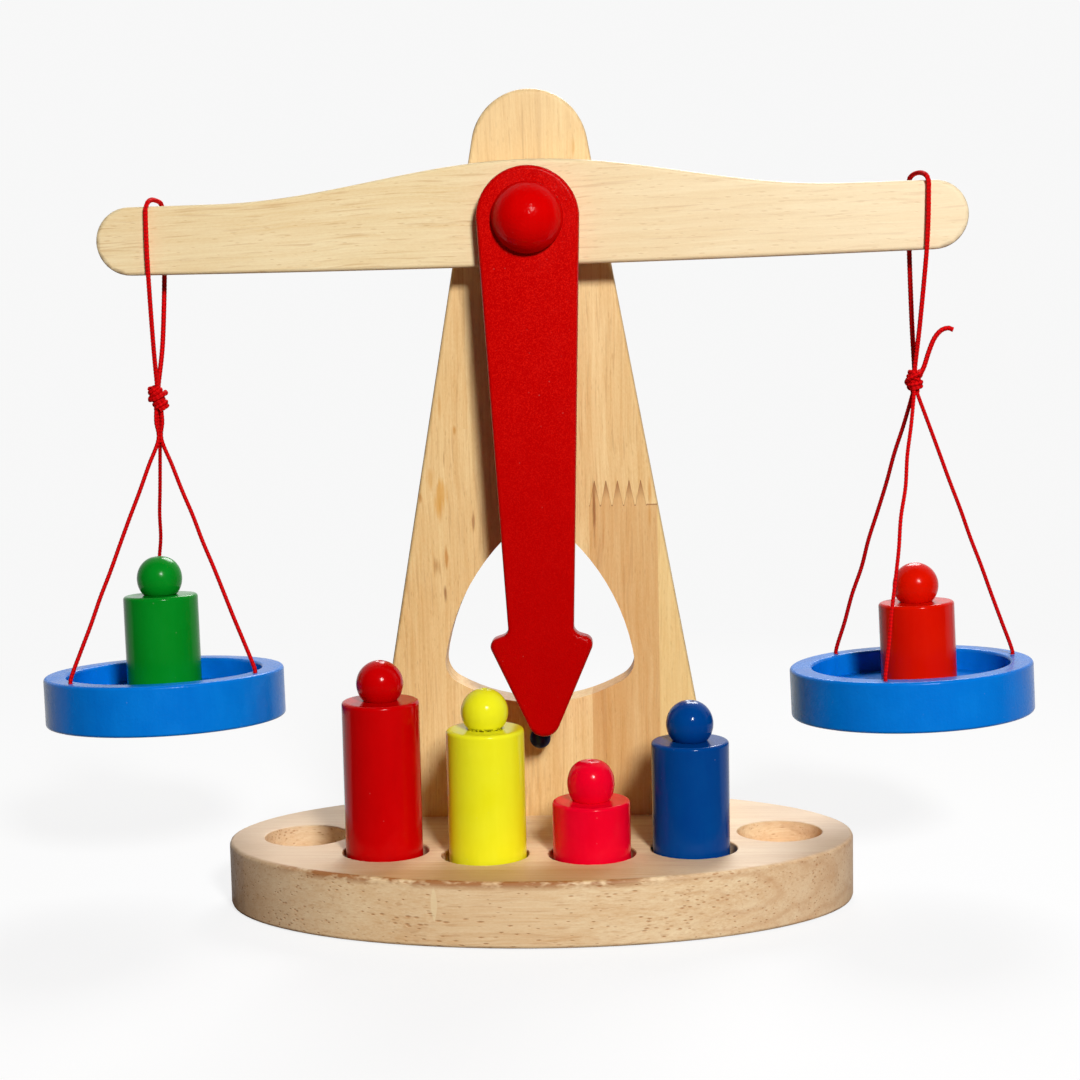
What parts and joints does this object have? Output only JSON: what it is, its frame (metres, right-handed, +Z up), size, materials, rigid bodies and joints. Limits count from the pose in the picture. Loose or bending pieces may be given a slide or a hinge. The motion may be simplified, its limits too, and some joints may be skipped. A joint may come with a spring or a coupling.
{
  "type": "balance scale toy",
  "caption": "Wooden toy balance: a tilting beam with an arrow pointer on a post, dished pans hung on cords, and turned weights standing in the sockets of an oval base.",
  "frame": {"origin": "middle of the underside of the oval base", "axes": "+X to the right along the beam, +Y to the back, +Z up"},
  "size_m": [0.3717, 0.134, 0.2985],
  "materials": {
    "board_wood": "satin",
    "beam_wood": "satin",
    "needle_red": "satin",
    "peg_red": "gloss",
    "peg_blue": "gloss",
    "steel": "satin",
    "pan_blue": "satin",
    "cord_red": "matte",
    "red_paint": "gloss",
    "yellow_paint": "gloss",
    "pink_paint": "gloss",
    "blue_paint": "gloss",
    "green_paint": "gloss",
    "orange_paint": "gloss"
  },
  "bodies": {
    "stand": {"base_board": "board_wood", "post": "board_wood", "post_screws": "steel", "zero_peg": "peg_blue", "pivot_peg": "peg_red", "pivot_washer": "steel"},
    "rocker": {"beam": "beam_wood", "needle": "needle_red", "needle_keys": "beam_wood"},
    "left_hanger": {"left_loop": "cord_red"},
    "left_gather": {"left_knot": "cord_red"},
    "left_tray": {"left_pan": "pan_blue", "left_stopper_knots": "cord_red", "left_string_1": "cord_red", "left_string_2": "cord_red", "left_string_3": "cord_red"},
    "right_hanger": {"right_loop": "cord_red"},
    "right_gather": {"right_knot": "cord_red", "right_tail": "cord_red"},
    "right_tray": {"right_pan": "pan_blue", "right_stopper_knots": "cord_red", "right_string_1": "cord_red", "right_string_2": "cord_red", "right_string_3": "cord_red"},
    "red_piece": {"red_weight": "red_paint", "red_bead": "red_paint", "red_dowel": "beam_wood"},
    "yellow_piece": {"yellow_weight": "yellow_paint", "yellow_bead": "yellow_paint", "yellow_dowel": "beam_wood"},
    "pink_piece": {"pink_weight": "pink_paint", "pink_bead": "pink_paint", "pink_dowel": "beam_wood"},
    "blue_piece": {"blue_weight": "blue_paint", "blue_bead": "blue_paint", "blue_dowel": "beam_wood"},
    "green_piece": {"green_weight": "green_paint", "green_bead": "green_paint", "green_dowel": "beam_wood"},
    "orange_piece": {"orange_weight": "orange_paint", "orange_bead": "orange_paint", "orange_dowel": "beam_wood"}
  },
  "joints": [
    {"name": "beam_tilt", "type": "hinge", "parent": "stand", "child": "rocker", "pos_m": [0, 0.01735, 0.251], "axis": [0, 1, 0], "range_deg": [-11.3, 12.7]},
    {"name": "left_loop_turn", "type": "hinge", "parent": "rocker", "child": "left_hanger", "pos_m": [-0.1389, 0.01735, 0.25799], "axis": [0, 1, 0], "range_deg": [-12.7, 11.3]},
    {"name": "left_knot_swing", "type": "hinge", "parent": "left_hanger", "child": "left_gather", "pos_m": [-0.1401, 0.01735, 0.18739], "axis": [0, 1, 0], "range_deg": [-8, 15]},
    {"name": "left_pan_sway", "type": "hinge", "parent": "left_gather", "child": "left_tray", "pos_m": [-0.1401, 0.01735, 0.18739], "axis": [1, 0, 0], "range_deg": [-8, 15]},
    {"name": "right_loop_turn", "type": "hinge", "parent": "rocker", "child": "right_hanger", "pos_m": [0.14218, 0.01735, 0.26142], "axis": [0, 1, 0], "range_deg": [-12.7, 11.3]},
    {"name": "right_knot_swing", "type": "hinge", "parent": "right_hanger", "child": "right_gather", "pos_m": [0.14068, 0.01735, 0.18912], "axis": [0, 1, 0], "range_deg": [-15, 8]},
    {"name": "right_pan_sway", "type": "hinge", "parent": "right_gather", "child": "right_tray", "pos_m": [0.14068, 0.01735, 0.18912], "axis": [1, 0, 0], "range_deg": [-8, 15]},
    {"name": "red_lift", "type": "slide", "parent": "stand", "child": "red_piece", "axis": [0, 0, 1], "range_m": [0, 0.04]},
    {"name": "yellow_lift", "type": "slide", "parent": "stand", "child": "yellow_piece", "axis": [0, 0, 1], "range_m": [0, 0.04]},
    {"name": "pink_lift", "type": "slide", "parent": "stand", "child": "pink_piece", "axis": [0, 0, 1], "range_m": [0, 0.04]},
    {"name": "blue_lift", "type": "slide", "parent": "stand", "child": "blue_piece", "axis": [0, 0, 1], "range_m": [0, 0.04]},
    {"name": "green_lift", "type": "slide", "parent": "left_tray", "child": "green_piece", "axis": [-0.0209, 0.0489, 0.9986], "range_m": [0, 0.02]},
    {"name": "orange_lift", "type": "slide", "parent": "right_tray", "child": "orange_piece", "axis": [-0.0366, 0.0262, 0.999], "range_m": [0, 0.02]}
  ],
  "couplings": [
    {"joint": "left_loop_turn", "follows": "beam_tilt", "ratio": -1},
    {"joint": "right_loop_turn", "follows": "beam_tilt", "ratio": -1}
  ]
}
